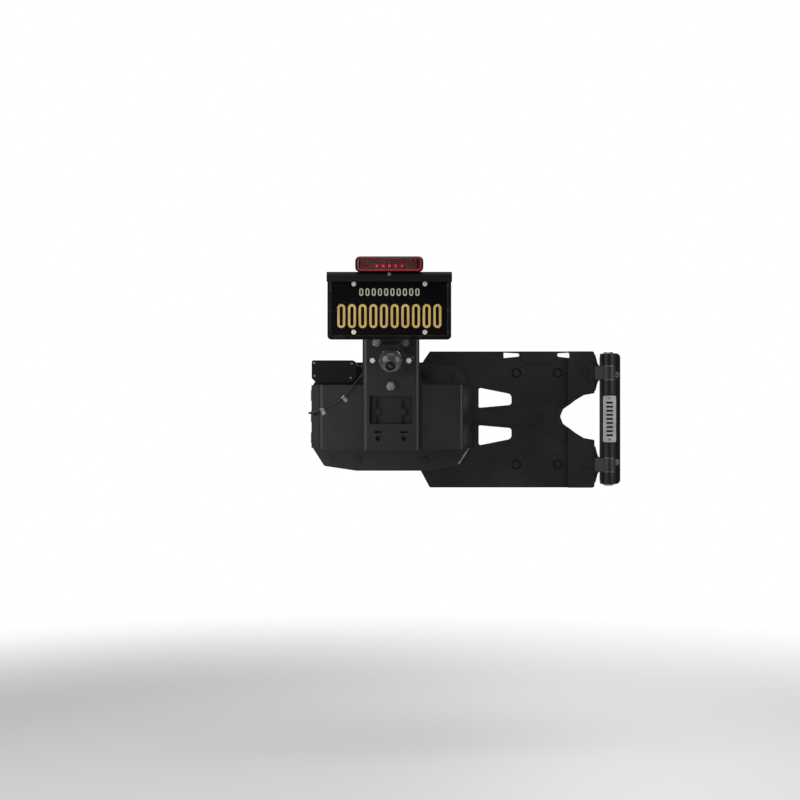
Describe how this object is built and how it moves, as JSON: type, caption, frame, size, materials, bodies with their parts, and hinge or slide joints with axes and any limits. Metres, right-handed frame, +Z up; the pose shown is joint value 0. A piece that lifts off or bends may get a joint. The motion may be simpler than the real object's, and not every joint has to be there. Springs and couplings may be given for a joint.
{
  "type": "spare tire carrier",
  "caption": "Hinged door-mounted spare tire carrier: body bracket, cast panel, height-adjustable wheel tower, and a through-wheel tube holding licence plate, brake light and camera.",
  "frame": {"origin": "centre of the four body bolts, on the face of the body-side bracket's gasket that lies on the vehicle body", "axes": "+X to the right seen from behind the vehicle, +Y forward into the vehicle along the body bolts, +Z up along the hinge axis"},
  "size_m": [0.8495, 0.412, 0.597],
  "materials": {
    "cast_black": "satin textured black powder coat on a casting",
    "steel_black": "satin black powder coat on bent steel",
    "arm_black": "semi-gloss black powder coat on a forging",
    "bracket_black": "satin black powder coat",
    "plastic_black": "moulded black plastic, fine grain",
    "dome_black": "satin moulded plastic dome",
    "rubber_black": "soft black rubber",
    "cable_black": "black jacket",
    "fastener_black": "black zinc fastener",
    "fastener_steel": "plain zinc fastener",
    "zinc": "bright zinc",
    "nut_chrome": "bright plated lug nut",
    "pin_steel": "ground steel",
    "bronze": "sintered bronze",
    "nameplate_silver": "brushed aluminium",
    "plate_black": "gloss black enamel on pressed aluminium",
    "plate_gold": "gold enamel",
    "plate_white": "off-white enamel",
    "lens_red": "deep red lens",
    "led_red": "small red light",
    "lens_clear": "clear lens",
    "glass_dark": "coated camera glass",
    "board_green": "circuit board",
    "ceramic_white": "cream terminal block"
  },
  "bodies": {
    "body_side": {"body_bracket": "bracket_black", "body_gasket": "rubber_black", "body_bolts": "fastener_steel", "nameplate": "nameplate_silver", "nameplate_rivets": "fastener_steel", "upper_hinge_pin": "pin_steel", "lower_hinge_pin": "pin_steel", "thrust_washers": "bronze"},
    "gate": {"hinge_panel": "cast_black", "upper_hinge_arm": "arm_black", "lower_hinge_arm": "arm_black", "hinge_bushings": "bronze", "arm_screws": "fastener_black", "door_bolts": "fastener_black", "door_washers": "fastener_black", "base_plate": "steel_black", "base_bolts": "fastener_black", "base_washers": "fastener_black", "base_spacers": "steel_black", "flange_screws": "fastener_black", "door_pad": "rubber_black", "wing_box": "steel_black", "height_bolts": "fastener_black", "height_washers": "fastener_black", "height_nuts": "fastener_steel", "junction_box": "plastic_black", "junction_lid": "plastic_black", "junction_screws": "fastener_steel", "terminal_block": "ceramic_white", "cable_gland": "rubber_black", "cable_clips": "fastener_steel", "cable_grommet": "rubber_black", "harness_cable": "cable_black"},
    "wheel_mount": {"tower": "steel_black", "slide_plate": "steel_black", "wheel_studs": "fastener_steel", "lug_nuts": "nut_chrome", "camera_tube": "steel_black", "clamp_bar": "steel_black", "plate_bracket": "steel_black", "bracket_bolts": "zinc", "camera_dome": "dome_black", "camera_barrel": "plastic_black", "camera_bezel": "plastic_black", "camera_lens": "glass_dark", "plate_backing": "plastic_black", "licence_plate": "plate_black", "plate_figures": "plate_gold", "plate_heading": "plate_white", "plate_screws": "zinc", "plate_hood": "plastic_black", "plate_lamp": "lens_clear", "hood_screw": "fastener_steel", "brake_light_housing": "plastic_black", "brake_light_board": "board_green", "brake_light_leds": "led_red", "brake_light_lens": "lens_red", "brake_light_screws": "fastener_steel"}
  },
  "joints": [
    {"name": "gate_hinge", "type": "hinge", "parent": "body_side", "child": "gate", "pos_m": [-0.009, -0.042, 0], "axis": [0, 0, 1], "range_deg": [0, 105]},
    {"name": "wheel_height_slide", "type": "slide", "parent": "gate", "child": "wheel_mount", "axis": [0, 0, 1], "range_m": [-0.018, 0.018]}
  ]
}
